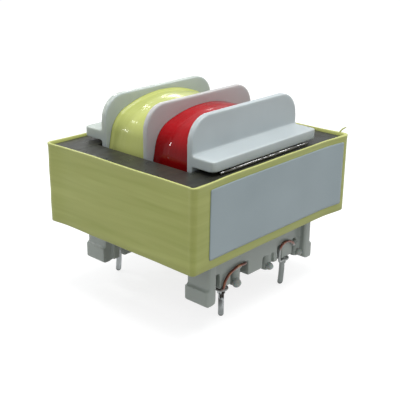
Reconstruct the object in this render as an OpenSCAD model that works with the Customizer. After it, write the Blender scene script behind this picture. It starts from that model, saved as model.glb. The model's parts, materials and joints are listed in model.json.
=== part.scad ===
// Board-mounted mains transformer on an interleaved E and I core.
// The sheets lie flat, the winding axis runs along Y and the label faces -Y.
// The origin is the centre of the pin pattern, in the plane where the feet meet the board.

/* [Core sheets] */
// Width of the centre leg of an E sheet
tongue_w = 9.6; // [7:0.1:12]
// Width of each winding window
window_w = 7.85; // [6:0.05:11]
// Length of each winding window
window_l = 19.5; // [15:0.1:28]
// Width of each outer leg of an E sheet
leg_w = 4.85; // [3.5:0.05:7]
// Width of the back of an E sheet, and of an I sheet
yoke_w = 5; // [4.2:0.1:7]
// Thickness of one sheet
sheet_t = 0.48; // [0.3:0.01:0.49]
// Height that one sheet takes up in the stack, varnish included
sheet_pitch = 0.5; // [0.5:0.01:0.65]
// Number of layers in the stack
layer_count = 24; // [12:1:36]
// Joint between an E sheet and the I sheet of its layer
butt_gap = 0.05; // [0.02:0.01:0.2]

/* [Bobbin] */
// Thickness of the tube's wall
tube_wall = 0.9; // [0.6:0.1:1.5]
// Gap between the tube and the centre legs
tube_gap = 0.2; // [0.1:0.05:0.4]
// Gap between each end flange and the yoke beside it
end_gap = 0.25; // [0.1:0.05:0.6]
// Thickness of the two end flanges
flange_t = 1; // [0.7:0.1:1.5]
// Thickness of the flange that parts the two windings
divider_t = 0.8; // [0.6:0.1:1.5]
// Gap between the side of a flange and the outer leg
side_gap = 0.65; // [0.3:0.05:1]
// Height of the flanges above and below the stack
flange_rise = 7.55; // [7:0.05:11]
// Corner radius of the flanges
flange_r = 3.8; // [1:0.1:5]
// Step by which an end flange is narrower below the core
flange_step = 0.9; // [0.5:0.1:1.5]
// Height of the middle flange's lower edge above that of the end flanges
divider_lift = 0.75; // [0.1:0.05:1]
// Radius of the middle flange's lower corners
divider_r = 8; // [3:0.5:9]

/* [Shelf and rail] */
// Gap that the shelf and the rail leave to the core
rail_gap = 0.6; // [0.5:0.1:1]
// Reach of the shelf out from its flange
shelf_reach = 4; // [2:0.1:5]
// Thickness of the shelf at its flange
shelf_t = 1.65; // [1:0.05:2.5]
// Fall of the shelf's top from the flange to its edge
shelf_fall = 0.1; // [0.05:0.05:0.8]
// Corner radius of the shelf in plan
shelf_r = 0.6; // [0.3:0.1:1.5]
// Reach of the terminal rail out from its flange
rail_reach = 2.8; // [2.7:0.1:3.4]
// Height of the rail's underside above the board
rail_lift = 1.25; // [1.15:0.05:1.6]
// Height of the slots that let a lead out, from the rail's underside
slot_h = 2.6; // [2.2:0.1:3.2]
// Width of the slot beside each pin
slot_w = 1.05; // [0.9:0.05:1.2]
// Width of the slot beside the innermost peg
wide_slot_w = 1.35; // [0.9:0.05:1.6]
// Height of the bays round the pegs, from the rail's underside
bay_h = 1.9; // [1.4:0.1:2.5]
// Width of a bay beyond the open side of its peg
bay_open = 1; // [0.6:0.05:1.1]

/* [Feet and pegs] */
// Width of a foot
foot_w = 1.65; // [1.6:0.05:2.2]
// Reach of a foot out from its flange
foot_reach = 3.9; // [3.5:0.1:5]
// Distance by which a foot stands out past the flange's side
foot_out = 0.4; // [0.05:0.05:0.6]
// Radius of a foot's lower edge on its inner side
foot_r = 0.8; // [0.3:0.1:1]
// Radius of a foot's upright edges
foot_edge_r = 0.4; // [0.2:0.05:0.7]
// Distance by which a foot's lip stands out sideways
lip_out = 0.5; // [0.35:0.05:0.8]
// Height of the lip
lip_h = 2.6; // [1.2:0.1:3.2]
// Drop of the feet below the flanges
foot_drop = 0.25; // [0.1:0.05:0.6]
// Diameter of a round peg
peg_d = 1.7; // [1.4:0.1:2]
// Distance from a flange to a peg's axis
peg_out = 1.9; // [1.6:0.05:2]
// Distance from the middle of a rail to its middle peg
peg_shift = 3.1; // [2.9:0.05:3.2]
// Height of the pegs above the board
peg_lift = 0.35; // [0:0.05:0.6]

/* [Pins] */
// Distance from the middle of a rail to the pin at each side
pin_x = 7.5; // [7:0.1:8]
// Distance from a flange to the row of pins
pin_out = 1.9; // [1.7:0.05:2]
// Diameter of a pin's tail, which goes through the board
tail_d = 0.9; // [0.6:0.05:0.95]
// Length of a pin's tail below the board's surface
tail_l = 3.9; // [2.5:0.1:5]
// Diameter of a pin's root, held in the rail
root_d = 1.24; // [1.2:0.02:1.3]
// Length of a pin's root inside the rail
root_l = 4.5; // [2.5:0.1:5]
// Radius at a pin's tip
tip_r = 0.28; // [0.1:0.02:0.28]
// Gap between a pin's root and its bore
bore_gap = 0.01; // [0.01:0.01:0.05]

/* [Windings] */
// Margin between the front winding and the flange's side
front_side = 0.9; // [0.4:0.1:3]
// Margin between the front winding and the flange's top
front_top = 1.55; // [1:0.05:3]
// Margin between the rear winding and the flange's side
rear_side = 0.4; // [0.3:0.1:3]
// Margin between the rear winding and the flange's top
rear_top = 1.1; // [1:0.05:3]
// Radius to which a winding's top and underside bulge
top_bulge = 21; // [18:1:40]
// Radius to which a winding's sides bulge
side_bulge = 31; // [24:1:60]
// Corner radius of a winding
coil_r = 4.3; // [3:0.1:5]
// Thickness of the tape round a winding
coil_tape_t = 0.2; // [0.1:0.05:0.4]
// Gap beside a winding and under its tape
coil_gap = 0.05; // [0.02:0.01:0.15]

/* [Wrap and label] */
// Distance by which the tape stands past the stack, above and below
wrap_over = 0.45; // [0.1:0.05:0.5]
// Thickness of the tape round the core, all turns together
wrap_t = 0.38; // [0.1:0.02:0.6]
// Corner radius of the wrapped core
wrap_r = 0.7; // [0.4:0.1:0.9]
// Gap between the tape and the core
wrap_gap = 0.02; // [0.01:0.01:0.1]
// Margin left of the label
label_left = 3.25; // [1:0.05:6]
// Margin right of the label
label_right = 1.15; // [1:0.05:4]
// Margin above the label
label_above = 1.05; // [0.5:0.05:3]
// Margin below the label
label_below = 1.45; // [0.5:0.05:3]
// Thickness of the label
label_t = 0.1; // [0.05:0.01:0.2]

/* [Leads] */
// Diameter of a winding's lead
lead_d = 0.45; // [0.2:0.05:0.46]
// Gap between a lead and what it lies on
lead_gap = 0.03; // [0.03:0.01:0.08]
// Radius of the solder round a pin's root
solder_r = 0.98; // [0.9:0.02:1.04]

/* [Hidden] */
$fn = 64;

// Core
stack_h = layer_count * sheet_pitch;
core_w = tongue_w + 2 * window_w + 2 * leg_w;
core_l = window_l + 2 * yoke_w + butt_gap;
e_l = window_l + yoke_w;

// Heights above the board
half_h = stack_h / 2 + flange_rise;
core_z = half_h + foot_drop;
shelf_z = core_z + stack_h / 2 + rail_gap;
rail_top = core_z - stack_h / 2 - rail_gap;
slot_top = rail_lift + slot_h;

// Bobbin
half_w = tongue_w / 2 + window_w - side_gap;
end_y = window_l / 2 - end_gap;
face_y = end_y + rail_reach;
bore_w = tongue_w + 2 * tube_gap;
bore_h = stack_h + 2 * tube_gap;
tube_w = bore_w + 2 * tube_wall;
tube_h = bore_h + 2 * tube_wall;
tube_r = 0.8;
foot_x = half_w + foot_out - foot_w;
lip_slope = 0.2;

// Places along the rear rail. The front rail is the same one turned half a turn.
peg_xs = [for (i = [1, 0, -1]) i * (pin_x + 0.1) - peg_shift];
slot_xs = [for (s = [1, -1]) s * pin_x + 1.9];
wide_slot_x = peg_xs[0] - peg_d / 2 - wide_slot_w / 2;
side_slot_x = peg_xs[2] + peg_d / 2 + bay_open / 2;

// Wrap
wrap_w = core_w + 2 * wrap_gap + 2 * wrap_t;
wrap_l = core_l + 2 * wrap_gap + 2 * wrap_t;
wrap_h = stack_h + 2 * wrap_over;

// Windings
section_l = end_y - flange_t - divider_t / 2;
section_y = divider_t / 2 + section_l / 2;
coil_l = section_l - 2 * coil_gap;

// Pins and leads
pin_y = end_y + pin_out;
ring_r = (root_d + lead_d) / 2 + lead_gap;
ring_z = rail_lift - lead_d / 2 - 0.25;
coil_end_y = section_y + coil_l / 2;
lead_start_y = coil_end_y + lead_gap;
lead_y = face_y + 0.05 + lead_d / 2 + lead_gap;
lead_z = slot_top - lead_d / 2 - lead_gap;
lead_drop = lead_z - ring_z;
bend_over = 0.01;

function two_digits(n) = n < 10 ? str("0", n) : str(n);
function e_name(i) = str("e_lamination_", two_digits(i));
function name_of(what, i) = str(what, "_", i);
function layer_z(i) = core_z - stack_h / 2 + (i - 0.5) * sheet_pitch;
function back_at_rear(i) = i % 2 == 1;

// Where the top bulge and the side bulge of a winding 2a wide and 2b high cross, once both are
// taken in by the corner radius: the centre from which the corner runs into both bulges.
function corner_centre(a, b) =
    let (
        down = top_bulge - b,
        left = side_bulge - a,
        top = top_bulge - coil_r,
        side = side_bulge - coil_r,
        rise = left / down,
        shift = (top * top - side * side + down * down + left * left) / (2 * down),
        root = sqrt(rise * rise * shift * shift - (1 + rise * rise) * (shift * shift - top * top)),
        x = (root - rise * shift) / (1 + rise * rise)
    )
    [x, rise * x + shift - down];

// A rectangle with round corners, about its centre
module round_rect(w, h, r) {
    square([w - 2 * r, h], center = true);
    square([w, h - 2 * r], center = true);
    for (sx = [-1, 1], sy = [-1, 1])
        translate([sx * (w / 2 - r), sy * (h / 2 - r)])
            circle(r);
}

// An outline drawn in X and Z, made solid from y0 to y1
module along_y(y0, y1) {
    translate([0, y1, 0])
        rotate([90, 0, 0])
            linear_extrude(y1 - y0)
                children();
}

// An outline drawn in Y and Z, made solid about the middle of X
module across_x(w) {
    translate([-w / 2, 0, 0])
        rotate([90, 0, 90])
            linear_extrude(w)
                children();
}

// Core: an E sheet with its back at the rear
module e_sheet() {
    linear_extrude(sheet_t, center = true)
        translate([-core_w / 2, core_l / 2 - e_l])
            difference() {
                square([core_w, e_l]);
                for (x = [leg_w, leg_w + window_w + tongue_w])
                    translate([x, -1])
                        square([window_w, window_l + 1]);
            }
}

module e_lamination(i) {
    color("dimgray")
        translate([0, 0, layer_z(i)])
            rotate([0, 0, back_at_rear(i) ? 0 : 180])
                e_sheet();
}

// Core: the I sheets that close every second layer at one end
module i_laminations(at_front) {
    y = (core_l - yoke_w) / 2;
    color("dimgray")
        for (i = [1:layer_count])
            if (back_at_rear(i) == at_front)
                translate([0, at_front ? -y : y, layer_z(i)])
                    cube([core_w, yoke_w, sheet_t], center = true);
}

// Bobbin: the middle flange, and the upper part of the end flanges
module flange_outline() {
    translate([0, core_z])
        round_rect(2 * half_w, 2 * half_h, flange_r);
}

module divider_outline() {
    low = foot_drop + divider_lift;
    intersection() {
        flange_outline();
        union() {
            translate([-half_w - 1, low + divider_r])
                square([2 * half_w + 2, 2 * half_h]);
            translate([divider_r - half_w, low])
                square([2 * (half_w - divider_r), divider_r + 1]);
            for (s = [-1, 1])
                translate([s * (half_w - divider_r), low + divider_r])
                    circle(divider_r);
        }
    }
}

module tube_outline(gap) {
    translate([0, core_z])
        round_rect(tube_w + 2 * gap, tube_h + 2 * gap, tube_r + gap);
}

// Bobbin: an end flange, which gets narrower below the core
module end_flange() {
    along_y(end_y - flange_t, end_y) {
        intersection() {
            flange_outline();
            translate([-half_w, rail_top])
                square([2 * half_w, core_z + half_h - rail_top]);
        }
        translate([flange_step - half_w, foot_drop])
            square([2 * (half_w - flange_step), rail_top - foot_drop + 1]);
    }
}

// Bobbin: the shelf over the yoke, thinner and round-cornered at its edge
module shelf() {
    intersection() {
        across_x(2 * half_w)
            polygon([
                [end_y - flange_t / 2, shelf_z],
                [end_y + shelf_reach, shelf_z],
                [end_y + shelf_reach, shelf_z + shelf_t - shelf_fall],
                [end_y, shelf_z + shelf_t],
                [end_y - flange_t / 2, shelf_z + shelf_t],
            ]);
        translate([0, end_y, shelf_z - 1])
            linear_extrude(shelf_t + 2)
                round_rect(2 * half_w, 2 * shelf_reach, shelf_r);
    }
}

// Bobbin: a foot in X and Z, with a round inner edge and a lip on its outer side
module foot_outline() {
    translate([0, foot_r])
        square([foot_w, rail_top - foot_r]);
    translate([foot_r, 0])
        square([foot_w - foot_r, foot_r]);
    translate([foot_r, foot_r])
        circle(foot_r);
    polygon([
        [foot_w - 0.1, 0],
        [foot_w + lip_out - lip_slope, 0],
        [foot_w + lip_out, lip_slope],
        [foot_w + lip_out, lip_h - lip_slope],
        [foot_w, lip_h],
        [foot_w - 0.1, lip_h],
    ]);
}

// Bobbin: the plan of a foot w wide, up to height h
module foot_plan(w, h) {
    translate([foot_x + w / 2, end_y, 0])
        linear_extrude(h)
            round_rect(w, 2 * foot_reach, foot_edge_r);
}

module foot() {
    intersection() {
        along_y(end_y - flange_t / 2, end_y + foot_reach)
            translate([foot_x, 0])
                foot_outline();
        union() {
            foot_plan(foot_w, rail_top);
            foot_plan(foot_w + lip_out, lip_h);
        }
    }
}

// Bobbin: a slot up through the rail and its flange
module slot(x, w) {
    translate([x - w / 2, end_y - flange_t - 1, -1])
        cube([w, flange_t + rail_reach + 2, slot_top + 1]);
}

// Bobbin: the room in the rail round a peg, open on the peg's right
module bay(x) {
    translate([x - peg_d / 2 - 0.1, end_y, -1])
        cube([peg_d + 0.1 + bay_open, rail_reach + 1, rail_lift + bay_h + 1]);
}

module peg(x) {
    translate([x, end_y + peg_out, peg_lift])
        cylinder(d = peg_d, h = rail_lift + bay_h + 0.5 - peg_lift);
}

module rail() {
    difference() {
        translate([-half_w, end_y - flange_t / 2, rail_lift])
            cube([2 * half_w, rail_reach + flange_t / 2, rail_top - rail_lift]);
        for (x = peg_xs)
            bay(x);
    }
}

// Bobbin: the bore that holds a pin's root
module pin_bore(x) {
    translate([x, pin_y, 0])
        cylinder(d = root_d + 2 * bore_gap, h = rail_lift + root_l + bore_gap);
}

// Bobbin: everything at the rear end
module bobbin_end() {
    difference() {
        union() {
            end_flange();
            rail();
        }
        slot(wide_slot_x, wide_slot_w);
        slot(side_slot_x, bay_open);
        for (x = slot_xs)
            slot(x, slot_w);
        for (s = [-1, 1])
            pin_bore(s * pin_x);
    }
    for (x = peg_xs)
        peg(x);
    shelf();
    foot();
    mirror([1, 0, 0])
        foot();
}

module bobbin() {
    color("gainsboro")
        difference() {
            union() {
                bobbin_end();
                rotate([0, 0, 180])
                    bobbin_end();
                along_y(-divider_t / 2, divider_t / 2)
                    divider_outline();
                along_y(-end_y + flange_t / 2, end_y - flange_t / 2)
                    tube_outline(0);
            }
            along_y(-end_y - 1, end_y + 1)
                translate([0, core_z])
                    square([bore_w, bore_h], center = true);
        }
}

// Windings: the bulging outline of a winding, taken in all round by inset
module coil_outline(side, top, inset) {
    a = half_w - side;
    b = half_h - top;
    r = coil_r - inset;
    corner = corner_centre(a, b);
    top_end = corner + r * (corner - [0, b - top_bulge]) / (top_bulge - coil_r);
    side_end = corner + r * (corner - [a - side_bulge, 0]) / (side_bulge - coil_r);
    translate([0, core_z])
        intersection() {
            intersection_for(s = [-1, 1])
                translate([0, s * (b - top_bulge)])
                    circle(top_bulge - inset, $fn = 128);
            intersection_for(s = [-1, 1])
                translate([s * (a - side_bulge), 0])
                    circle(side_bulge - inset, $fn = 128);
            union() {
                square([2 * top_end[0], 2 * b + 2], center = true);
                square([2 * a + 2, 2 * side_end[1]], center = true);
                for (sx = [-1, 1], sz = [-1, 1])
                    translate([sx * corner[0], sz * corner[1]])
                        circle(r + bend_over / 2);
            }
        }
}

// Windings: copper on the tube, at the front (-1) or at the rear (1)
module coil(at, side, top) {
    y = at * section_y;
    color("chocolate")
        along_y(y - coil_l / 2, y + coil_l / 2)
            difference() {
                coil_outline(side, top, coil_tape_t + coil_gap);
                tube_outline(coil_gap);
            }
}

module coil_tape(at, side, top) {
    y = at * section_y;
    along_y(y - coil_l / 2, y + coil_l / 2)
        difference() {
            coil_outline(side, top, 0);
            coil_outline(side, top, coil_tape_t);
        }
}

// Wrap: the tape round the core
module core_tape() {
    color("darkkhaki")
        translate([0, 0, core_z])
            linear_extrude(wrap_h, center = true)
                difference() {
                    round_rect(wrap_w, wrap_l, wrap_r);
                    square([core_w + 2 * wrap_gap, core_l + 2 * wrap_gap], center = true);
                }
}

module rating_label() {
    color("lightsteelblue")
        translate([
            label_left - wrap_w / 2,
            -wrap_l / 2 - 0.01 - label_t,
            core_z - wrap_h / 2 + label_below
        ])
            cube([
                wrap_w - label_left - label_right,
                label_t,
                wrap_h - label_above - label_below
            ]);
}

// Pins are numbered from the front left round to the rear left.
module at_place(i) {
    rotate([0, 0, i < 3 ? 180 : 0])
        children();
}

function first_of_pair(i) = i % 2 == 1;
function pin_side(i) = first_of_pair(i) ? pin_x : -pin_x;

module pin_tip() {
    translate([0, 0, -tail_l])
        rotate_extrude() {
            translate([0, tip_r])
                square([tail_d / 2, 0.1]);
            square([tail_d / 2 - tip_r, tip_r + 0.1]);
            translate([tail_d / 2 - tip_r, tip_r])
                intersection() {
                    circle(tip_r);
                    translate([0, -tip_r])
                        square(tip_r);
                }
        }
}

module pin(i) {
    color("silver")
        at_place(i)
            translate([pin_side(i), pin_y, 0]) {
                cylinder(d = root_d, h = rail_lift + root_l);
                translate([0, 0, tip_r - tail_l])
                    cylinder(d = tail_d, h = tail_l - tip_r);
                pin_tip();
            }
}

// Leads: a straight run of wire from p to q
module run(p, q) {
    v = q - p;
    translate(p)
        rotate([0, acos(v[2] / norm(v)), atan2(v[1], v[0])])
            cylinder(d = lead_d, h = norm(v));
}

// Leads: wire through all the points, a little thicker where it is bent
module bent_wire(points) {
    for (i = [1:len(points) - 1]) {
        run(points[i - 1], points[i]);
        translate(points[i])
            sphere(d = lead_d + 2 * bend_over);
    }
}

// Leads: out of the wide slot, past the peg, down across the pin's block and under it
function outer_path() = [
    [wide_slot_x, lead_start_y, lead_z],
    [wide_slot_x, lead_y, lead_z],
    [pin_x - lead_d, lead_y, lead_z - 0.2 * lead_drop],
    [pin_x + ring_r, lead_y, ring_z],
    [pin_x + ring_r, pin_y, ring_z],
];

// Leads: out of the side slot, up across the pin's block and down beside it to the pin
function side_path() = [
    [side_slot_x, lead_start_y, lead_z - 0.3 * lead_drop],
    [side_slot_x, lead_y, lead_z - 0.3 * lead_drop],
    [slot_xs[1], lead_y, lead_z],
    [ring_r - pin_x, lead_y, ring_z],
    [ring_r - pin_x, pin_y, ring_z],
];

module lead(i) {
    outer = first_of_pair(i);
    color("sienna")
        at_place(i) {
            bent_wire(outer ? outer_path() : side_path());
            translate([pin_side(i), pin_y, ring_z])
                rotate_extrude()
                    translate([ring_r, 0])
                        circle(d = lead_d);
        }
}

module solder(i) {
    low = 0.05;
    high = ring_z - lead_d / 2 - lead_gap;
    color("gray")
        at_place(i)
            translate([pin_side(i), pin_y, low])
                difference() {
                    cylinder(r1 = solder_r, r2 = solder_r - 0.15, h = high - low);
                    translate([0, 0, -1])
                        cylinder(r = root_d / 2 + lead_gap, h = high + 1);
                }
}

bobbin();
for (i = [1:layer_count])
    e_lamination(i);
i_laminations(true);  // i_laminations_front
i_laminations(false);  // i_laminations_rear
core_tape();
rating_label();
coil(-1, front_side, front_top);  // front_coil
coil(1, rear_side, rear_top);  // rear_coil
color("firebrick") coil_tape(-1, front_side, front_top);  // front_coil_tape
color("khaki") coil_tape(1, rear_side, rear_top);  // rear_coil_tape
for (i = [1:4])
    pin(i);
for (i = [1:4])
    lead(i);
for (i = [1:4])
    solder(i);
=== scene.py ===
import json
import math

import bmesh
import bpy
from mathutils import Matrix, Vector, noise


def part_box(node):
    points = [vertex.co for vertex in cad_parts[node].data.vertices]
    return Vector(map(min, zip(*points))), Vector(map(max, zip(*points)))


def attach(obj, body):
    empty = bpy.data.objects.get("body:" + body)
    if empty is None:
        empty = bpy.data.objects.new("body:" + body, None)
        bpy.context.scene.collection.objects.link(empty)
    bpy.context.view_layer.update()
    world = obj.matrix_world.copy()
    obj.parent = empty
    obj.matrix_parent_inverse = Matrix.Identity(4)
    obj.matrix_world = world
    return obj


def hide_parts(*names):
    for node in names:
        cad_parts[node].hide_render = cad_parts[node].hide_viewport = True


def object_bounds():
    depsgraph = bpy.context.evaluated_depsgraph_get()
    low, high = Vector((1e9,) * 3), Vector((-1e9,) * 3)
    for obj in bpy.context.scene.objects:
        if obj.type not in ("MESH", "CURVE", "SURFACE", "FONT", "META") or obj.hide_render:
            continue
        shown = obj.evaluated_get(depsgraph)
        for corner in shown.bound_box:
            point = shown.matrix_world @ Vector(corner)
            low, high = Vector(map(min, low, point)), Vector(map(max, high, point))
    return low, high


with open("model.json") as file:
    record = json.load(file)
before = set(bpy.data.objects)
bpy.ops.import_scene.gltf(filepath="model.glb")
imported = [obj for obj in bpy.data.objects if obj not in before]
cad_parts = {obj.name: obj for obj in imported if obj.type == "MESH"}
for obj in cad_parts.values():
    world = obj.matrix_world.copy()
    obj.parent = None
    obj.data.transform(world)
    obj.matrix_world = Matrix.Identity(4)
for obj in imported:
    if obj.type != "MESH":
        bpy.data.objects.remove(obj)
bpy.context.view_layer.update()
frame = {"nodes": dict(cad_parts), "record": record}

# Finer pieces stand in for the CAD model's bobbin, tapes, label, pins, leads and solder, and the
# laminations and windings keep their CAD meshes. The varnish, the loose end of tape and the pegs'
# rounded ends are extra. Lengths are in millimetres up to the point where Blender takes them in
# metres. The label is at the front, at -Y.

MM = 0.001
ROOT = "root"
X, Y, Z = 0, 1, 2
scene = bpy.context.scene


# ---------------------------------------------------------------- small tools

def box_mm(node):
    """A CAD node's lowest and highest corners, in millimetres."""
    lo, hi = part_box(node)
    return Vector(lo) / MM, Vector(hi) / MM


def srgb(r, g, b):
    """An 8-bit display colour as the linear colour that a shader takes."""
    def lin(v):
        v /= 255
        return v / 12.92 if v <= 0.04045 else ((v + 0.055) / 1.055) ** 2.4
    return (lin(r), lin(g), lin(b), 1.0)


def wobble(x, y, z, seed):
    """Smooth noise from -1 to 1."""
    return noise.noise(Vector((x + seed * 13.7, y - seed * 5.1, z + seed * 3.3)))


def make_piece(name, verts, faces, material, nodes=()):
    """A piece from vertices in millimetres, riding on the one body."""
    me = bpy.data.meshes.new(name)
    me.from_pydata([Vector(v) * MM for v in verts], [], faces)
    me.validate()
    me.update()
    bm = bmesh.new()
    bm.from_mesh(me)
    bmesh.ops.recalc_face_normals(bm, faces=bm.faces)
    bm.to_mesh(me)
    bm.free()
    ob = bpy.data.objects.new(name, me)
    scene.collection.objects.link(ob)
    me.materials.append(material)
    me.shade_smooth()
    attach(ob, ROOT)
    if nodes:
        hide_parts(*nodes)


def sweep(rings, closed=True):
    """Verts and faces of a skin over rings of points. Unless it is closed, its two ends are capped."""
    count, cols = len(rings), len(rings[0])
    verts = [v for ring in rings for v in ring]
    faces = []
    for i in range(count if closed else count - 1):
        a, b = i * cols, ((i + 1) % count) * cols
        for j in range(cols):
            k = (j + 1) % cols
            faces.append((a + j, a + k, b + k, b + j))
    if not closed:
        faces.append(tuple(range(cols)))
        faces.append(tuple(range(len(verts) - 1, len(verts) - cols - 1, -1)))
    return verts, faces


def resample(points, n, closed=True):
    """n points evenly spaced along a line of points."""
    pts = [Vector(p) for p in points]
    if closed:
        pts.append(pts[0])
    dist = [0.0]
    for a, b in zip(pts, pts[1:]):
        dist.append(dist[-1] + (b - a).length)
    out = []
    k = 0
    steps = n if closed else n - 1
    for i in range(n):
        d = dist[-1] * i / steps
        while k < len(dist) - 2 and dist[k + 1] < d:
            k += 1
        t = (d - dist[k]) / max(dist[k + 1] - dist[k], 1e-9)
        out.append(pts[k].lerp(pts[k + 1], min(max(t, 0), 1)))
    return out


def normals_2d(points):
    """Outward normals of a closed line that runs anticlockwise."""
    out = []
    for a, b in zip(points[-1:] + points[:-1], points[1:] + points[:1]):
        t = (b - a).normalized()
        out.append(Vector((t.y, -t.x)))
    return out


def round_rect(w, h, r, corner_steps, side_steps):
    """A rectangle with round corners, anticlockwise."""
    pts = []
    corners = [(1, -1, -90), (1, 1, 0), (-1, 1, 90), (-1, -1, 180)]
    for (sx, sy, start), (nx, ny, nstart) in zip(corners, corners[1:] + corners[:1]):
        cx, cy = sx * (w / 2 - r), sy * (h / 2 - r)
        for k in range(corner_steps + 1):
            t = math.radians(start + 90 * k / corner_steps)
            pts.append(Vector((cx + r * math.cos(t), cy + r * math.sin(t))))
        t = math.radians(nstart)
        q = Vector((nx * (w / 2 - r) + r * math.cos(t), ny * (h / 2 - r) + r * math.sin(t)))
        p = pts[-1].copy()
        for k in range(1, side_steps):
            pts.append(p.lerp(q, k / side_steps))
    return pts


CURVE_STEPS = 12
TUBE_SIDES = 14


def tube(points, radius_at, samples):
    """A round wire along a smooth curve through the points, as thick as radius_at says from 0 to 1."""
    pts = [Vector(p) for p in points]
    last = len(pts) - 1
    fine = []
    for i in range(last):
        p0, p1, p2, p3 = pts[max(i - 1, 0)], pts[i], pts[i + 1], pts[min(i + 2, last)]
        for k in range(CURVE_STEPS):
            t = k / CURVE_STEPS
            fine.append(0.5 * ((2 * p1) + (p2 - p0) * t + (2 * p0 - 5 * p1 + 4 * p2 - p3) * t * t
                               + (3 * p1 - p0 - 3 * p2 + p3) * t ** 3))
    fine.append(pts[-1])
    line = resample(fine, samples, closed=False)
    # No route runs along this first direction, and each section takes its own from the one before
    across = Vector((0.31, 0.17, 0.93)).normalized()
    turns = [2 * math.pi * k / TUBE_SIDES for k in range(TUBE_SIDES)]
    rings = []
    for i in range(samples):
        t = (line[min(i + 1, samples - 1)] - line[max(i - 1, 0)]).normalized()
        u = (across - t * across.dot(t)).normalized()
        v = t.cross(u)
        across = u
        r = radius_at(i / (samples - 1))
        rings.append([line[i] + (u * math.cos(a) + v * math.sin(a)) * r for a in turns])
    return sweep(rings, closed=False)


# ---------------------------------------------------------------- materials

class Tree:
    """A node tree, built a node at a time."""

    def __init__(self, tree):
        self.nodes = tree.nodes
        self.links = tree.links

    def put(self, value, socket):
        """Sets a socket to a constant, or links it to another node's output."""
        if isinstance(value, (float, int, tuple)):
            socket.default_value = value
        else:
            self.links.new(value, socket)

    def add(self, kind, inputs=(), **settings):
        """The outputs of a new node, with its inputs given by name or number."""
        node = self.nodes.new(kind)
        for key, value in settings.items():
            setattr(node, key, value)
        for key, value in dict(inputs).items():
            self.put(value, node.inputs[key])
        return node.outputs


class Look(Tree):
    """A material on a Principled shader. Colours are given as 8-bit display colours."""

    def __init__(self, name):
        self.material = bpy.data.materials.new(name)
        self.material.use_nodes = True
        super().__init__(self.material.node_tree)
        self.shader = self.nodes["Principled BSDF"]
        self.coord = self.add("ShaderNodeTexCoord")["Object"]

    def noise(self, per_mm, detail=3.0, rough=0.5, distortion=0.0):
        """Noise over the object, with how often it changes in a millimetre along X, Y and Z."""
        scale = tuple(v / MM for v in per_mm)
        place = self.add("ShaderNodeMapping", {"Vector": self.coord, "Scale": scale})["Vector"]
        return self.add("ShaderNodeTexNoise", {
            "Vector": place, "Scale": 1.0, "Detail": detail, "Roughness": rough,
            "Distortion": distortion})["Fac"]

    def ramp(self, value, stops):
        """Colours along a value, from (place, colour) stops."""
        node = self.nodes.new("ShaderNodeValToRGB")
        elements = node.color_ramp.elements
        while len(elements) < len(stops):
            elements.new(0.5)
        for element, (place, colour) in zip(elements, stops):
            element.position = place
            element.color = srgb(*colour)
        self.put(value, node.inputs["Fac"])
        return node.outputs["Color"]

    def mix(self, amount, under, over):
        """A colour with another laid over it by an amount from 0 to 1."""
        return self.add("ShaderNodeMix", {0: amount, 6: under, 7: srgb(*over)}, data_type="RGBA")[2]

    def math(self, op, a, b=0.0):
        return self.add("ShaderNodeMath", {0: a, 1: b}, operation=op)[0]

    def both(self, a, b):
        """Two amounts from 0 to 1 as one, which is high only where both are."""
        return self.math("MULTIPLY", a, b)

    def spread(self, value, low, high, out_low, out_high):
        """A value's range low to high, stretched to another range and held at its ends."""
        return self.add("ShaderNodeMapRange", {0: value, 1: low, 2: high, 3: out_low, 4: out_high})[0]

    def axis(self, which):
        """The place along X, Y or Z, in metres."""
        return self.add("ShaderNodeSeparateXYZ", {0: self.coord})[which]

    def band(self, which, start, end, before, after):
        """A value that goes from one to another between two places along an axis, in millimetres."""
        return self.spread(self.axis(which), start * MM, end * MM, before, after)

    def bump(self, height, depth, strength, under=None):
        """A relief of a depth in millimetres, on top of another one if there is one."""
        inputs = {"Height": height, "Distance": depth * MM, "Strength": strength}
        if under is not None:
            inputs["Normal"] = under
        return self.add("ShaderNodeBump", inputs)["Normal"]

    def shade(self, **sockets):
        """The material, with the shader's sockets set or linked. _ stands for a space in a name."""
        for key, value in sockets.items():
            self.put(value, self.shader.inputs[key.replace("_", " ")])
        return self.material


def nylon_material():
    """Nylon with faint painted reflections of the windings above the core, and painted greenish shade
    below it.
    """
    n = Look("nylon")
    cloud = n.noise((0.16, 0.16, 0.16), detail=2.0)
    colour = n.ramp(cloud, [(0.3, (176, 184, 186)), (0.7, (182, 190, 192))])
    # Painted reflections above the core: the red winding's colour on the middle flange, the yellow
    # winding's on the rear flange
    above_core = n.band(Z, 19, 22, 0.0, 1.0)
    painted_red_reflection = n.spread(n.math("ABSOLUTE", n.axis(Y)), 0.4 * MM, 0.7 * MM, 0.7, 0.0)
    colour = n.mix(n.both(painted_red_reflection, above_core), colour, (183, 178, 176))
    painted_yellow_reflection = n.band(Y, 8.3, 8.8, 0.0, 0.6)
    colour = n.mix(n.both(painted_yellow_reflection, above_core), colour, (178, 186, 172))
    # Painted shade, a little green from the tape, on the nylon below the core
    painted_shade_below_core = n.band(Z, 6, 9, 0.8, 0.0)
    colour = n.mix(painted_shade_below_core, colour, (160, 167, 157))
    grain = n.noise((5, 5, 5), detail=2.0)
    flow = n.noise((0.25, 0.25, 1.4), detail=2.0)
    return n.shade(
        Base_Color=colour, Roughness=n.spread(cloud, 0.3, 0.7, 0.31, 0.35), IOR=1.5,
        Normal=n.bump(grain, 0.003, 0.4, n.bump(flow, 0.008, 0.3)),
        Subsurface_Weight=0.35, Subsurface_Scale=0.0012, Subsurface_Radius=(1.0, 0.9, 0.8))


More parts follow.
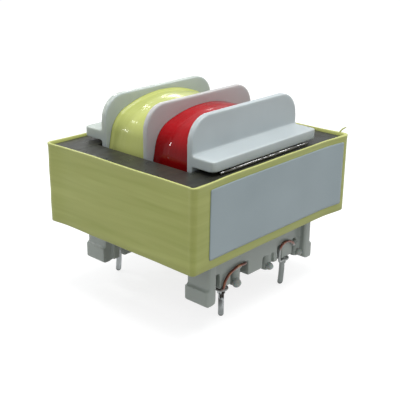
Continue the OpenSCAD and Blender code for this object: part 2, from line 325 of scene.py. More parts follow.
def peg_nylon_material():
    """The nylon of the pegs' rounded ends, a little shinier than the rest."""
    n = Look("peg_nylon")
    pool = n.noise((1.1, 1.1, 1.1), detail=2.0)
    colour = n.ramp(pool, [(0.3, (158, 168, 162)), (0.7, (182, 189, 184))])
    return n.shade(
        Base_Color=colour, Roughness=0.22, IOR=1.45, Subsurface_Weight=0.3, Subsurface_Scale=0.0008)


def steel_material():
    """Dark core sheet, streaked along X, with a few brown patches."""
    n = Look("core_steel")
    streak = n.noise((0.12, 0.9, 2.0), detail=4.0, distortion=0.4)
    colour = n.ramp(streak, [(0.3, (42, 43, 40)), (0.6, (52, 53, 46)), (0.8, (60, 56, 47))])
    blot = n.noise((0.5, 0.5, 0.5), rough=0.6)
    colour = n.mix(n.spread(blot, 0.45, 0.75, 0.0, 0.5), colour, (48, 42, 34))
    fine = n.noise((6, 1.2, 6), detail=2.0)
    return n.shade(
        Base_Color=colour, Roughness=n.spread(blot, 0.3, 0.7, 0.24, 0.42), IOR=1.3,
        Normal=n.bump(fine, 0.006, 0.4, n.bump(blot, 0.02, 0.3)))


def core_tape_material():
    """Yellow tape in soft ripples, with a painted highlight along its rim, and darker along its lower
    edge.
    """
    n = Look("wrap_tape")
    ripple = n.noise((0.05, 0.05, 0.9), distortion=0.3)
    blot = n.noise((0.22, 0.22, 0.22))
    colour = n.ramp(ripple, [(0.25, (157, 164, 82)), (0.55, (170, 176, 97)), (0.8, (180, 186, 107))])
    colour = n.mix(n.spread(blot, 0.4, 0.7, 0.0, 0.35), colour, (170, 172, 100))
    # Painted highlight: the rim is paler where light catches the tape's top edge
    rim = n.band(Z, 19.85, 20.1, 0.0, 0.45)
    colour = n.mix(rim, colour, (198, 200, 132))
    lower_edge = n.band(Z, 7.6, 8.6, 0.3, 0.0)
    colour = n.mix(lower_edge, colour, (150, 152, 84))
    grain = n.noise((3, 3, 8), detail=2.0)
    return n.shade(
        Base_Color=colour, Roughness=n.spread(blot, 0.3, 0.7, 0.34, 0.46), IOR=1.45,
        Normal=n.bump(grain, 0.004, 0.3, n.bump(ripple, 0.05, 0.35)))


def label_material():
    """Bare silvery film with a fine fibre."""
    n = Look("label_film")
    blot = n.noise((0.12, 0.12, 0.12), detail=2.0)
    colour = n.ramp(blot, [(0.3, (146, 160, 164)), (0.7, (153, 167, 171))])
    fibre = n.noise((7, 7, 7))
    colour = n.mix(n.spread(fibre, 0.4, 0.7, 0.0, 0.25), colour, (166, 174, 180))
    return n.shade(Base_Color=colour, Roughness=0.42, Normal=n.bump(fibre, 0.003, 0.4), Metallic=0.05)


def coil_tape_material(name, stops, tint, rough, painted_shade_colour, painted_shade_amount):
    """Shiny tape over a winding, marked by the turns under it, with painted shade toward the core."""
    n = Look(name)
    cloud = n.noise((0.3, 0.16, 0.3), distortion=0.5)
    colour = n.ramp(cloud, stops)
    turns = n.noise((0.15, 3.4, 0.15), detail=2.0)
    colour = n.mix(n.spread(turns, 0.45, 0.75, 0.0, 0.35), colour, tint)
    # Painted shade: darker toward the core, where the tape turns away from the light
    colour = n.mix(n.band(Z, 19.5, 24.5, painted_shade_amount, 0.0), colour, painted_shade_colour)
    crease = n.noise((0.9, 0.35, 0.9), detail=4.0, rough=0.6)
    return n.shade(
        Base_Color=colour, Roughness=rough, IOR=1.3,
        Normal=n.bump(turns, 0.008, 0.3, n.bump(crease, 0.012, 0.3)))


def copper_material():
    """The windings' enamelled wire, turn by turn."""
    n = Look("copper")
    turn = n.noise((0.1, 9, 0.1), detail=1.0)
    colour = n.ramp(turn, [(0.35, (92, 44, 26)), (0.65, (140, 78, 46))])
    return n.shade(
        Base_Color=colour, Metallic=0.6, Roughness=0.35, Normal=n.bump(turn, 0.04, 0.6),
        Coat_Weight=0.8, Coat_Roughness=0.15)


def lead_material(name, dip):
    """Enamelled copper, tinned below the height dip where it was dipped in solder."""
    n = Look(name)
    blot = n.noise((0.7, 0.7, 0.7))
    colour = n.ramp(blot, [(0.3, (82, 40, 28)), (0.55, (122, 62, 42)), (0.75, (176, 122, 72))])
    colour = n.mix(n.band(Z, dip - 0.4, dip + 0.3, 1.0, 0.0), colour, (150, 154, 152))
    return n.shade(
        Base_Color=colour, Metallic=0.5, Roughness=0.3, Normal=n.bump(blot, 0.02, 0.4),
        Coat_Weight=0.5, Coat_Roughness=0.12)


def tin_material():
    """Tin with painted shade on the pins at the right, dark cut ends and a burnt root on the near pin.
    """
    n = Look("tinned_wire")
    blot = n.noise((1.2, 1.2, 0.5), detail=4.0, rough=0.6)
    colour = n.ramp(blot, [(0.3, (122, 126, 125)), (0.6, (172, 177, 178)), (0.8, (196, 200, 202))])
    # Painted shade: the pins at the right are darker
    painted_shade_on_right = n.band(X, -1, 1, 0.0, 0.75)
    colour = n.mix(painted_shade_on_right, colour, (112, 117, 114))
    pin_tip = box_mm("pin_1")[0].z
    colour = n.mix(n.band(Z, pin_tip + 0.1, pin_tip + 0.5, 0.7, 0.0), colour, (62, 62, 60))
    near_pin = n.both(n.band(X, -6, -5, 1.0, 0.0), n.band(Y, -9, -8, 1.0, 0.0))
    near_root = n.both(near_pin, n.band(Z, -2.4, -0.8, 0.0, 1.0))
    burnt = n.both(near_root, n.spread(blot, 0.54, 0.64, 1.0, 0.0))
    colour = n.mix(burnt, colour, (38, 34, 30))
    return n.shade(
        Base_Color=colour, Metallic=0.85, Roughness=n.spread(blot, 0.3, 0.7, 0.42, 0.26),
        Normal=n.bump(blot, 0.03, 0.5))


def solder_material():
    """Dull grey solder with dark burnt flux in it."""
    n = Look("solder")
    blot = n.noise((1.6, 1.6, 1.6), detail=4.0, rough=0.65)
    colour = n.ramp(blot, [(0.28, (52, 48, 44)), (0.45, (118, 122, 118)), (0.7, (158, 163, 160))])
    return n.shade(
        Base_Color=colour, Metallic=0.35, Roughness=n.spread(blot, 0.3, 0.7, 0.55, 0.3),
        Normal=n.bump(blot, 0.05, 0.6))


def varnish_material():
    """Dried varnish over the dark steel."""
    n = Look("varnish")
    pool = n.noise((0.9, 0.9, 0.9), detail=2.0)
    colour = n.ramp(pool, [(0.35, (40, 38, 33)), (0.7, (84, 80, 70))])
    return n.shade(
        Base_Color=colour, Roughness=0.1, Normal=n.bump(pool, 0.05, 0.5), IOR=1.6,
        Coat_Weight=1.0, Coat_Roughness=0.05)


# One material for each of the record's material slots
MATERIALS = {
    "nylon": nylon_material(),
    "core_steel": steel_material(),
    "wrap_tape": core_tape_material(),
    "label_film": label_material(),
    "copper": copper_material(),
    "lead_copper": lead_material("lead_copper", 1.1),
    # Each tape's last colour and amount are its painted shade toward the core
    "red_tape": coil_tape_material(
        "red_tape", [(0.3, (150, 8, 16)), (0.7, (170, 14, 24))], (180, 24, 32),
        0.12, (112, 8, 8), 0.9),
    "yellow_tape": coil_tape_material(
        "yellow_tape", [(0.3, (176, 183, 102)), (0.7, (188, 194, 118))], (197, 202, 131),
        0.14, (186, 191, 118), 0.6),
    "tinned_wire": tin_material(),
    "solder": solder_material(),
}
# Three more, for pieces that share a slot with another look
DIPPED_LEAD = lead_material("lead_dipped", 3.3)
PEG_NYLON = peg_nylon_material()
VARNISH = varnish_material()

slot_of = {s["node"]: s["material_slot"] for s in frame["record"]["subparts"]}
for node, ob in frame["nodes"].items():
    for ms in ob.material_slots:
        ms.material = MATERIALS[slot_of[node]]


# ---------------------------------------------------------------- bobbin

# The remesh's voxel, the rounds of smoothing and the part of the triangles that is kept
BOBBIN_VOXEL = 0.15
BOBBIN_ROUNDS = 7
BOBBIN_KEPT = 0.28


def moulded_bobbin():
    """The bobbin's own mesh, remeshed and smoothed so that its edges and inner corners are round."""
    ob = bpy.data.objects.new("moulded_bobbin", frame["nodes"]["bobbin"].data.copy())
    scene.collection.objects.link(ob)
    mod = ob.modifiers.new("remesh", "REMESH")
    mod.mode = "VOXEL"
    mod.voxel_size = BOBBIN_VOXEL * MM
    mod.use_smooth_shade = True
    mod = ob.modifiers.new("smooth", "SMOOTH")
    mod.factor = 0.5
    mod.iterations = BOBBIN_ROUNDS
    mod = ob.modifiers.new("reduce", "DECIMATE")
    mod.ratio = BOBBIN_KEPT
    graph = bpy.context.evaluated_depsgraph_get()
    done = bpy.data.meshes.new_from_object(ob.evaluated_get(graph))
    ob.modifiers.clear()
    ob.data = done
    done.name = "moulded_bobbin"
    done.materials.clear()
    done.materials.append(MATERIALS["nylon"])
    done.shade_smooth()
    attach(ob, ROOT)
    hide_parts("bobbin")


moulded_bobbin()


# ---------------------------------------------------------------- core tape

wrap_lo, wrap_hi = box_mm("core_tape")
WRAP_W = wrap_hi.x - wrap_lo.x
WRAP_L = wrap_hi.y - wrap_lo.y
WRAP_CORNER_R, WRAP_T = 0.6, 0.36
WRAP_ROWS, WRAP_POINTS = 22, 620
# The edge's radius outside and inside, and how far in from the CAD tape's edges it lies
EDGE_R, EDGE_INNER_R, EDGE_INSET = 0.12, 0.06, 0.06
# Within this of a face, a point is on it
ON_FACE = 0.4
# Where the tape is loose: how far it stands off at a corner, and over what distance that fades.
# At the front left corner it stands off more toward its top.
REAR_LEFT_SLACK, REAR_LEFT_FADE = 0.32, 2.6
FRONT_RIGHT_SLACK, FRONT_RIGHT_FADE = 0.52, 3.6
FRONT_LEFT_SLACK, FRONT_LEFT_RISE, FRONT_LEFT_FADE = 0.12, 0.26, 5.5
# How far the tape leans out along its rim, and how far down that begins
RIM_LEAN, RIM_HEIGHT = 0.09, 1.1
FRONT = Vector((0, -1))


def wrap_bulge(p, z, n=FRONT):
    """How far the tape stands out from its nominal face at p, z, where its normal is n."""
    on_front = p.y < -WRAP_L / 2 + ON_FACE
    on_side = abs(p.x) > WRAP_W / 2 - ON_FACE
    waviness = 0.015 if on_front else 0.05
    out = waviness * wobble(p.x * 0.10, p.y * 0.10, z * 0.45, 1)
    if on_side and not on_front:
        out += 0.02 * wobble(p.x * 0.05, p.y * 0.05, z * 1.6, 2)
    rear_left = math.hypot(p.x + WRAP_W / 2, p.y - WRAP_L / 2)
    front_right = math.hypot(p.x - WRAP_W / 2, p.y + WRAP_L / 2)
    front_left = math.hypot(p.x + WRAP_W / 2, p.y + WRAP_L / 2)
    out += (REAR_LEFT_SLACK * math.exp(-(rear_left / REAR_LEFT_FADE) ** 2)
            + FRONT_RIGHT_SLACK * math.exp(-(front_right / FRONT_RIGHT_FADE) ** 2))
    tall = min(max((z - wrap_lo.z) / (wrap_hi.z - wrap_lo.z), 0), 1)
    out += ((FRONT_LEFT_SLACK + FRONT_LEFT_RISE * tall) * max(0.0, -n.y)
            * math.exp(-(front_left / FRONT_LEFT_FADE) ** 2))
    rim = max(0.0, z - (wrap_hi.z - RIM_HEIGHT)) / RIM_HEIGHT
    return out + RIM_LEAN * rim * rim


def wrap_ring(p, n):
    """The tape's section at the point p of its outline, where its normal is n."""
    lo = wrap_lo.z + EDGE_INSET + 0.05 * wobble(p.x * 0.16, p.y * 0.16, 0.0, 4)
    hi = wrap_hi.z - EDGE_INSET + 0.07 * wobble(p.x * 0.16, p.y * 0.16, 0.0, 3)
    lo_out, hi_out = wrap_bulge(p, lo, n), wrap_bulge(p, hi, n)
    edge = []
    for a in (30, 60, 90):
        t = math.radians(a)
        edge.append((EDGE_R * (1 - math.cos(t)), EDGE_R * (1 - math.sin(t))))
    ring = []
    for k in range(WRAP_ROWS + 1):
        z = lo + EDGE_R + (hi - lo - 2 * EDGE_R) * k / WRAP_ROWS
        ring.append((wrap_bulge(p, z, n), z))
    ring += [(hi_out - d, hi - dz) for d, dz in edge]
    back = -WRAP_T + min(hi_out, 0.3)
    ring += [(back + EDGE_INNER_R, hi), (back, hi - EDGE_INNER_R)]
    ring += [(-WRAP_T, hi - (hi - lo) * k / 6) for k in range(1, 6)]
    ring += [(-WRAP_T, lo + EDGE_INNER_R), (-WRAP_T + EDGE_INNER_R, lo)]
    ring += [(lo_out - d, lo + dz) for d, dz in reversed(edge)]
    return [(p.x + n.x * d, p.y + n.y * d, z) for d, z in ring]


outline = resample(round_rect(WRAP_W, WRAP_L, WRAP_CORNER_R, 10, 60), WRAP_POINTS)
verts, faces = sweep([wrap_ring(p, n) for p, n in zip(outline, normals_2d(outline))])
make_piece("core_wrap", verts, faces, MATERIALS["wrap_tape"], ["core_tape"])


# ---------------------------------------------------------------- label and loose end

# The film's thickness and its distance from the tape
LABEL_T, LABEL_GAP = 0.07, 0.012
LABEL_CORNER_R = 0.25
LABEL_COLS, LABEL_ROWS = 120, 40


def label_sheet():
    """The label's film, which follows the tape under it."""
    lo, hi = box_mm("rating_label")
    w, h = hi.x - lo.x, hi.z - lo.z
    cx, cz = (lo.x + hi.x) / 2, (lo.z + hi.z) / 2
    face_y = -WRAP_L / 2
    flat_w, flat_h = w / 2 - LABEL_CORNER_R, h / 2 - LABEL_CORNER_R

    def inside(x, z):
        """Pulls a grid point in so that the sheet's corners are round."""
        ax, az = abs(x) - flat_w, abs(z) - flat_h
        if ax > 0 and az > 0:
            d = math.hypot(ax, az)
            m = max(ax, az)
            x = math.copysign(flat_w + ax * m / d, x)
            z = math.copysign(flat_h + az * m / d, z)
        return x, z

    verts, faces = [], []
    for thick in (0.0, LABEL_T):
        for i in range(LABEL_ROWS + 1):
            for j in range(LABEL_COLS + 1):
                x, z = inside(w * (j / LABEL_COLS - 0.5), h * (i / LABEL_ROWS - 0.5))
                x += cx
                z += cz
                rise = wrap_bulge(Vector((x, face_y)), z) + LABEL_GAP + thick
                verts.append((x, face_y - rise, z))
    row = LABEL_COLS + 1
    front = (LABEL_ROWS + 1) * row
    for i in range(LABEL_ROWS):
        for j in range(LABEL_COLS):
            a = i * row + j
            b = a + row
            faces.append((a, a + 1, b + 1, b))
            faces.append((front + a, front + b, front + b + 1, front + a + 1))
    rim = list(range(row))
    rim += [i * row + LABEL_COLS for i in range(1, LABEL_ROWS + 1)]
    rim += [LABEL_ROWS * row + j for j in range(LABEL_COLS - 1, -1, -1)]
    rim += [i * row for i in range(LABEL_ROWS - 1, 0, -1)]
    for a, b in zip(rim, rim[1:] + rim[:1]):
        faces.append((a, front + a, front + b, b))
    make_piece("label_sheet", verts, faces, MATERIALS["label_film"], ["rating_label"])


def loose_end():
    """The tape's last corner, which stands off at the front of the right side."""
    steps, thick = 12, 0.05
    root = Vector((WRAP_W / 2 - 0.05, -13.9, wrap_hi.z - 0.25))
    tip = Vector((WRAP_W / 2 + 1.05, -14.5, wrap_hi.z + 0.65))
    rings = []
    for i in range(steps + 1):
        t = i / steps
        p = root.lerp(tip, t) + Vector((0, 0, 0.22 * math.sin(math.pi * t)))
        tall = 0.34 * (1 - 0.75 * t) + 0.05
        section = ((-thick, -tall / 2), (thick, -tall / 2), (thick, tall / 2), (-thick, tall / 2))
        rings.append([(p.x, p.y + dy, p.z + dz) for dy, dz in section])
    verts, faces = sweep(rings, closed=False)
    make_piece("loose_tape_end", verts, faces, MATERIALS["wrap_tape"])


label_sheet()
loose_end()


# ---------------------------------------------------------------- windings

core_z = (wrap_lo.z + wrap_hi.z) / 2

# A winding's outline: the radii of its wide arcs over and beside the core, and of its corners
TOP_BULGE, SIDE_BULGE, COIL_R = 21.0, 31.0, 4.3
ARC_STEPS = 60
COIL_POINTS, COIL_COLS = 520, 46
# The tape's section: how high its crown stands, how far it all sits below the CAD tape, its dents
COIL_CROWN, COIL_SINK, COIL_DENTS = 0.20, 0.03, 0.04
# The width of its rounded front margin and of its curled rear one, and how far its inside is below
COIL_MARGIN, COIL_CURL_W, COIL_BACK = 0.35, 0.55, 0.25
# The deepest that a dent may go, so that the wire under the tape stays covered
COIL_DEEPEST = -0.11
# The ridges of the turns under the tape, and the step along it where one layer of tape ends
RIDGE_H, RIDGE_PITCH = 0.006, 0.62
LAP_DROP, LAP_AT = 0.03, 0.62


def arc(cx, cy, r, start, end, count):
    """Points on an arc, in ARC_STEPS steps from start to end."""
    angles = [start + (end - start) * k / ARC_STEPS for k in range(count)]
    return [(cx + r * math.cos(t), cy + r * math.sin(t)) for t in angles]


def bulging_outline(a, b, n):
    """A winding's outline in X and Z about its centre: four wide arcs, with round corners between."""
    down, left = TOP_BULGE - b, SIDE_BULGE - a
    top, side = TOP_BULGE - COIL_R, SIDE_BULGE - COIL_R
    # The corner's centre is at distance top from the top arc's centre and side from the side arc's
    rise = left / down
    shift = (top * top - side * side + down * down + left * left) / (2 * down)
    root = math.sqrt((rise * shift) ** 2 - (1 + rise * rise) * (shift * shift - top * top))
    x = (root - rise * shift) / (1 + rise * rise)
    corner = Vector((x, rise * x + shift - down))
    from_top = corner - Vector((0, -down))
    from_side = corner - Vector((-left, 0))
    t_top = math.atan2(from_top.y, from_top.x)
    t_side = math.atan2(from_side.y, from_side.x)
    quarter = arc(-left, 0, SIDE_BULGE, 0, t_side, ARC_STEPS)
    quarter += arc(corner.x, corner.y, COIL_R, t_side, t_top, ARC_STEPS)
    quarter += arc(0, -down, TOP_BULGE, t_top, math.pi / 2, ARC_STEPS + 1)
    half = quarter + [(-u, v) for u, v in reversed(quarter[:-1])]
    whole = half + [(u, -v) for u, v in reversed(half[1:-1])]
    return resample(whole, n)


def coil_wrap(name, node, slot, seed, curl):
    """The tape round a winding: a crowned band whose rear margin curls up the flange."""
    lo, hi = box_mm(node)
    y0, y1 = lo.y, hi.y

    def ring(p, n):
        pts = []
        for j in range(COIL_COLS + 1):
            t = j / COIL_COLS
            y = y0 + (y1 - y0) * t
            out = -COIL_MARGIN * max(0.0, 1 - (y - y0) / COIL_MARGIN) ** 2
            out += curl * max(0.0, 1 - (y1 - y) / COIL_CURL_W) ** 2
            out += COIL_CROWN * (1 - (2 * t - 1) ** 2) - COIL_SINK
            if y - y0 > COIL_MARGIN:
                out += COIL_DENTS * wobble(p.x * 0.25, y * 0.16, p.y * 0.25, seed)
                phase = 2.0 * wobble(p.x * 0.2, y * 0.3, p.y * 0.2, seed + 7)
                out += RIDGE_H * math.sin(y * 2 * math.pi / RIDGE_PITCH + phase)
                if (y - y0) / (y1 - y0) > LAP_AT + 0.05 * wobble(p.x * 0.1, 0, p.y * 0.1, seed + 3):
                    out -= LAP_DROP
                out = max(out, COIL_DEEPEST)
            pts.append((out, y))
        back = -COIL_MARGIN - COIL_BACK
        pts += [(back, y1), (back, y0)]
        return [(p.x + n.x * d, y, core_z + p.y + n.y * d) for d, y in pts]

    line = bulging_outline((hi.x - lo.x) / 2, (hi.z - lo.z) / 2, COIL_POINTS)
    verts, faces = sweep([ring(p, n) for p, n in zip(line, normals_2d(line))])
    make_piece(name, verts, faces, MATERIALS[slot], [node])


coil_wrap("red_winding_wrap", "front_coil_tape", "red_tape", 11, 0.08)
coil_wrap("yellow_winding_wrap", "rear_coil_tape", "yellow_tape", 23, 0.42)


# ---------------------------------------------------------------- varnish

# Where the bead starts along X, how far it runs and at what Y, under the front shelf's edge
BEAD_START, BEAD_LENGTH, BEAD_Y = -10.6, 20.2, -13.52
# Its height over the laminations and its radius
BEAD_LIFT, BEAD_R = 0.28, 0.27
BEAD_STEPS = 32


def varnish_bead():
    """Dried varnish that fills the gap between the laminations and the front shelf's edge."""
    steel_top = box_mm("e_lamination_24")[1].z
    points = []
    for k in range(BEAD_STEPS + 1):
        x = BEAD_START + BEAD_LENGTH * k / BEAD_STEPS
        y = BEAD_Y + 0.06 * wobble(x * 0.7, 0, 0, 61)
        points.append((x, y, steel_top + BEAD_LIFT + 0.03 * wobble(x * 0.9, 0, 0, 62)))
    verts, faces = tube(points, lambda t: BEAD_R * (0.9 + 0.3 * wobble(t * 8, 0, 0, 63)), 200)
    make_piece("varnish_bead", verts, faces, VARNISH)


varnish_bead()


# ---------------------------------------------------------------- leads

# The leads' routes at the rear end up to their pins, as in the CAD model. An outer lead comes from
# near the rail's middle and a side lead from its end.
OUTER_ROUTE = [
    (2.975, 8.49, 3.595), (2.975, 10.6, 3.61), (3.0, 12.1, 3.68), (3.5, 12.58, 3.8),
    (5.05, 12.62, 3.9), (6.3, 12.62, 3.6), (7.4, 12.62, 3.1), (8.0, 12.62, 2.45),
    (8.22, 12.6, 1.85), (8.33, 12.5, 1.25), (8.375, 12.15, 0.86),
]
SIDE_ROUTE = [
    (-9.35, 8.49, 2.75), (-9.35, 11.0, 2.75), (-9.2, 12.3, 2.8), (-8.85, 12.62, 3.05),
    (-8.3, 12.65, 3.6), (-7.3, 12.67, 4.08), (-6.25, 12.67, 4.18), (-5.6, 12.62, 3.85),
    (-5.45, 12.45, 3.2), (-5.5, 12.3, 2.0), (-5.7, 12.2, 1.05), (-6.1, 12.1, 0.8),
    (-6.88, 12.02, 0.775),
]
# The rear pins' places, and a lead's last turn round one: radius, height and how far it goes down
PIN_X, PIN_Y = 7.5, 11.4
TURN_R, TURN_Z, TURN_DROP, TURN_STEPS = 0.875, 0.775, 0.02, 12
# A little thinner than the CAD lead, whose radius is 0.225
LEAD_R = 0.225 * 0.97


def turn_round_pin(x, start, sweep_deg):
    """A lead's last turn, round the pin at x, in degrees anticlockwise from above."""
    pts = []
    for k in range(TURN_STEPS + 1):
        t = math.radians(start + sweep_deg * k / TURN_STEPS)
        z = TURN_Z - TURN_DROP * k / TURN_STEPS
        pts.append((x + TURN_R * math.cos(t), PIN_Y + TURN_R * math.sin(t), z))
    return pts


def winding_lead(i):
    """Lead i. Leads 1 and 2 are at the front, and their routes are the rear ones turned round."""
    if i % 2:
        route, look = OUTER_ROUTE + turn_round_pin(PIN_X, 0, -300), MATERIALS["lead_copper"]
    else:
        route, look = SIDE_ROUTE + turn_round_pin(-PIN_X, 30, 290), DIPPED_LEAD
    if i < 3:
        route = [(-x, -y, z) for x, y, z in route]
    verts, faces = tube(route, lambda t: LEAD_R, 150)
    make_piece("winding_lead_%d" % i, verts, faces, look, ["lead_%d" % i])


for i in range(1, 5):
    winding_lead(i)


# ---------------------------------------------------------------- pegs, pins and solder

# The pegs' rounded outer ends at the rear: X, height and radius of each
PEG_ENDS = [(5.0, 0.98, 0.72), (-2.9, 1.1, 0.62), (-10.75, 1.1, 0.66)]
PEG_END_Y, PEG_END_DEPTH = 12.3, 0.72
PEG_ROWS, PEG_SIDES = 18, 28

PIN_ROWS, PIN_SIDES = 70, 20
# A pin's radius in its shank, how much thicker its root is, and the taper between them below Z = 0
PIN_R, PIN_ROOT_EXTRA, PIN_TAPER = 0.45, 0.17, 0.2
# Over what height its end is rounded, and over what height it is narrower still
PIN_ROUND, PIN_CUT = 0.42, 0.03
# How far a pin's tip is bent in X and Y
PIN_BEND = {2: (-0.15, 0.15), 4: (0.0, 0.28)}

# The solder's outline from below the rail to the wire: radius and height
SOLDER_SIDE = [
    (0.46, -0.2), (0.47, 0.05), (0.56, 0.3), (0.72, 0.55),
    (0.88, 0.8), (0.86, 1.05), (0.76, 1.2), (0.66, 1.22),
]
# and back down inside it, along the pin
SOLDER_INSIDE = [(0.5, 1.2), (0.4, -0.2)]
SOLDER_ROWS, SOLDER_SIDES = 18, 36


def peg_end(name, centre, radii, seed):
    """A peg's rounded outer end, a little uneven."""
    rings = []
    for k in range(1, PEG_ROWS):
        a = math.pi * k / PEG_ROWS
        ring = []
        for m in range(PEG_SIDES):
            t = 2 * math.pi * m / PEG_SIDES
            d = Vector((math.sin(a) * math.cos(t), math.sin(a) * math.sin(t), math.cos(a)))
            r = 1 + 0.07 * wobble(d.x * 1.4, d.y * 1.4, d.z * 1.4, seed)
            ring.append(tuple(centre[q] + radii[q] * r * d[q] for q in (X, Y, Z)))
        rings.append(ring)
    verts, faces = sweep(rings, closed=False)
    make_piece(name, verts, faces, PEG_NYLON)


def pin_radius(z, tip):
    """A pin's radius at height z: a rounded end at the tip, a plain shank and a thicker root."""
    r = PIN_R + PIN_ROOT_EXTRA * min(max((z + PIN_TAPER) / PIN_TAPER, 0), 1)
    above = z - tip
    if above < PIN_ROUND:
        r *= math.sqrt(max(0.0, 1 - ((PIN_ROUND - above) / PIN_ROUND) ** 2)) * 0.75 + 0.25
        if above < PIN_CUT:
            r *= 0.8
    return r


def pin_wire(i):
    """A tinned pin: a slightly uneven round wire with a rounded tip and a thicker root."""
    lo, hi = box_mm("pin_%d" % i)
    cx, cy = (lo.x + hi.x) / 2, (lo.y + hi.y) / 2
    tip, top = lo.z, hi.z
    bend_x, bend_y = PIN_BEND.get(i, (0, 0))
    rings = []
    for k in range(PIN_ROWS + 1):
        # The rows lie closer together toward the tip
        z = tip + (top - tip) * (k / PIN_ROWS) ** 1.25
        r = pin_radius(z, tip)
        lean = -0.05 * wobble(i, 0, z * 0.2, 5)
        bend = (min(z, 0.0) / tip) ** 2
        ring = []
        for s in range(PIN_SIDES):
            t = 2 * math.pi * s / PIN_SIDES
            rough = 0.022 * wobble(math.cos(t) * 0.9, math.sin(t) * 0.9, z * 0.7, 30 + i)
            rr = max(r + rough, 0.03)
            ring.append((cx + bend_x * bend + lean + rr * math.cos(t),
                         cy + bend_y * bend + rr * math.sin(t), z))
        rings.append(ring)
    verts, faces = sweep(rings, closed=False)
    make_piece("pin_wire_%d" % i, verts, faces, MATERIALS["tinned_wire"], ["pin_%d" % i])


def solder_drop(i):
    """Solder round a pin's root, which climbs over the turn of wire, uneven and a little burnt."""
    lo, hi = box_mm("solder_%d" % i)
    cx, cy = (lo.x + hi.x) / 2, (lo.y + hi.y) / 2
    side = resample(SOLDER_SIDE, SOLDER_ROWS, closed=False)

    def ring(k):
        t = 2 * math.pi * k / SOLDER_SIDES
        c, s = math.cos(t), math.sin(t)
        out = []
        for m, q in enumerate(side):
            lump = wobble(c * 1.2, s * 1.2, q.y * 0.9, 40 + i)
            r = q.x + 0.10 * math.sin(math.pi * m / (SOLDER_ROWS - 1)) * lump
            out.append((cx + r * c, cy + r * s, q.y))
        return out + [(cx + r * c, cy + r * s, z) for r, z in SOLDER_INSIDE]

    verts, faces = sweep([ring(k) for k in range(SOLDER_SIDES)])
    make_piece("solder_drop_%d" % i, verts, faces, MATERIALS["solder"], ["solder_%d" % i])


# The front row is the rear one turned round by half a turn
for row, turn in (("rear", 1), ("front", -1)):
    for k, (x, z, r) in enumerate(PEG_ENDS):
        peg_end("peg_end_%s_%d" % (row, k + 1), (turn * x, turn * PEG_END_Y, z),
                (r, PEG_END_DEPTH, r), 71 + k)

for i in range(1, 5):
    pin_wire(i)
    solder_drop(i)


# ---------------------------------------------------------------- floor and world

FLOOR_SIZE = 3.0
FLOOR_GREY, FLOOR_GLOW = 0.3, 0.80
SKY_TINT, SKY_STRENGTH = (0.96, 0.985, 1.0, 1), 0.665
WHITE = (1, 1, 1, 1)


def seen_white(name, grey, glow):
    """A grey surface that the camera and reflections see as white, and that keeps a faint shadow."""
    material = bpy.data.materials.new(name)
    material.use_nodes = True
    t = Tree(material.node_tree)
    t.nodes.remove(t.nodes["Principled BSDF"])
    plain = t.add("ShaderNodeBsdfDiffuse", {"Color": (grey, grey, grey, 1)})[0]
    light = t.add("ShaderNodeEmission", {"Strength": glow})[0]
    bright = t.add("ShaderNodeAddShader", {0: plain, 1: light})[0]
    path = t.add("ShaderNodeLightPath")
    seen = t.add("ShaderNodeMath", {0: path["Is Camera Ray"], 1: path["Is Glossy Ray"]},
                 operation="MAXIMUM")[0]
    seen = t.add("ShaderNodeMath", {0: seen, 1: path["Is Transmission Ray"]}, operation="MAXIMUM")[0]
    surface = t.add("ShaderNodeMixShader", {0: seen, 1: plain, 2: bright})[0]
    t.put(surface, t.nodes["Material Output"].inputs["Surface"])
    return material


bpy.ops.mesh.primitive_plane_add(size=FLOOR_SIZE, location=(0, 0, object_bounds()[0][Z]))
floor = bpy.context.object
floor.name = "floor"
floor.data.materials.append(seen_white("floor", FLOOR_GREY, FLOOR_GLOW))

# The world is white to the camera and a softer light to everything else
world = scene.world or bpy.data.worlds.new("world")
scene.world = world
world.use_nodes = True
world.node_tree.nodes.clear()
sky = Tree(world.node_tree)
soft = sky.add("ShaderNodeBackground", {"Color": SKY_TINT, "Strength": SKY_STRENGTH})[0]
white = sky.add("ShaderNodeBackground", {"Color": WHITE, "Strength": 1.0})[0]
by_camera = sky.add("ShaderNodeLightPath")["Is Camera Ray"]
surface = sky.add("ShaderNodeMixShader", {0: by_camera, 1: soft, 2: white})[0]
sky.add("ShaderNodeOutputWorld", {"Surface": surface})


# ---------------------------------------------------------------- lamps

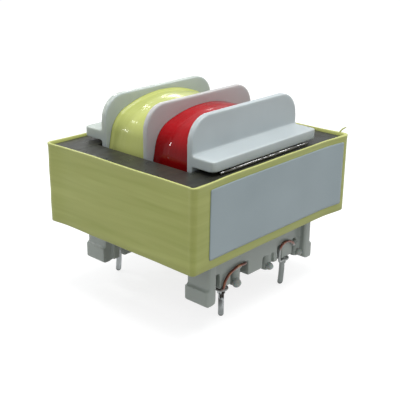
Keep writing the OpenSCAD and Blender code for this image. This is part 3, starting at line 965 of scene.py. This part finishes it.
# Name, place, aim, width and height, watts
LAMPS = [
    ("key", (20, -40, 300), (0, 0, 14), (170, 170), 0.70),
    # Small ones behind, for the bright reflections on the windings' tape
    ("glint_corner", (90, 185, 147), (0, 0, 20), (24, 20), 0.032),
    ("glint_upper", (-69, 185, 162), (0, 0, 20), (18, 20), 0.055),
    ("glint_side", (-142, 199, 81), (0, 0, 20), (12, 30), 0.055),
    # The steel mirrors this one toward the camera, so it stays weak
    ("glint_top", (153, 170, 99), (0, 0, 20), (30, 18), 0.012),
    # One to the right and above, for the varnish under the shelf
    ("glint_right", (165, -60, 165), (0, 0, 20), (28, 28), 0.05),
]


def area_light(name, place, aim, size, watts):
    """A soft box, with its places and sizes in millimetres."""
    light = bpy.data.lights.new(name, "AREA")
    light.shape = "RECTANGLE"
    light.size = size[0] * MM
    light.size_y = size[1] * MM
    light.energy = watts
    ob = bpy.data.objects.new(name, light)
    ob.location = Vector(place) * MM
    ob.rotation_euler = (Vector(aim) - Vector(place)).to_track_quat("-Z", "Y").to_euler()
    scene.collection.objects.link(ob)


for lamp in LAMPS:
    area_light(*lamp)


# ---------------------------------------------------------------- camera

# To the left of the label's face and a little above it, as fitted to the photograph's edges.
# Angles are in degrees, lengths in millimetres, and the focal length in pixels of the 400-pixel frame.
AZIMUTH, ELEVATION, ROLL = -47.5, 20.69, 0.45
DISTANCE, ACROSS, UPWARD = 130.6, 0.03, -3.75
FOCAL_PIXELS, FRAME_PIXELS = 819.92, 400
SENSOR_WIDTH = 36
# These two are in metres
CLIP_START, CLIP_END = 0.001, 20

az, el, roll = (math.radians(v) for v in (AZIMUTH, ELEVATION, ROLL))
back = Vector((math.sin(az) * math.cos(el), -math.cos(az) * math.cos(el), math.sin(el)))
level_right = Vector((math.cos(az), math.sin(az), 0))
level_up = back.cross(level_right)
right = level_right * math.cos(roll) + level_up * math.sin(roll)
up = level_up * math.cos(roll) - level_right * math.sin(roll)
place = Vector((0, 0, core_z)) + back * DISTANCE + right * ACROSS + up * UPWARD
cam = bpy.data.cameras.new("camera")
cam.sensor_width = SENSOR_WIDTH
cam.lens = FOCAL_PIXELS / FRAME_PIXELS * SENSOR_WIDTH
cam.clip_start = CLIP_START
cam.clip_end = CLIP_END
cam_ob = bpy.data.objects.new("camera", cam)
matrix = Matrix((right, up, back)).transposed().to_4x4()
matrix.translation = place * MM
cam_ob.matrix_world = matrix
scene.collection.objects.link(cam_ob)
scene.camera = cam_ob
scene.view_settings.view_transform = "Standard"
